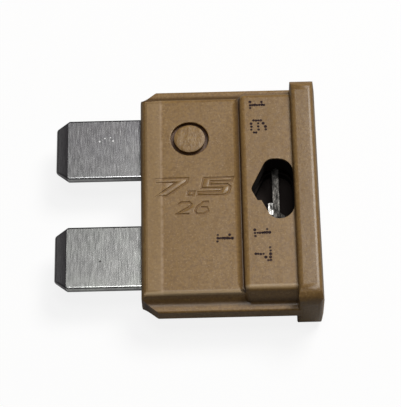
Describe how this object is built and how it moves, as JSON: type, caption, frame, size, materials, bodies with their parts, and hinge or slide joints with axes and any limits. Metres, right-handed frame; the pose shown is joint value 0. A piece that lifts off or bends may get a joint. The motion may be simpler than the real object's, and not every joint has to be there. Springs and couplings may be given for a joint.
{
  "type": "automotive blade fuse",
  "caption": "Plug-in blade fuse: flat stepped plastic housing with a thick head, side rims and a window over the link, and parallel flat metal blades.",
  "frame": {"origin": "under the middle of the fuse, on the plane that the back of its head rests on", "axes": "+X from the blade tips to the head, +Y across the blades, +Z out of the front face"},
  "size_m": [0.02, 0.019, 0.0051],
  "materials": {
    "housing_plastic": "tan moulded plastic with a fine satin grain",
    "element_zinc": "bare rolled zinc alloy, grained across the blades"
  },
  "bodies": {
    "root": {"housing": "housing_plastic", "fuse_element": "element_zinc"}
  },
  "joints": []
}
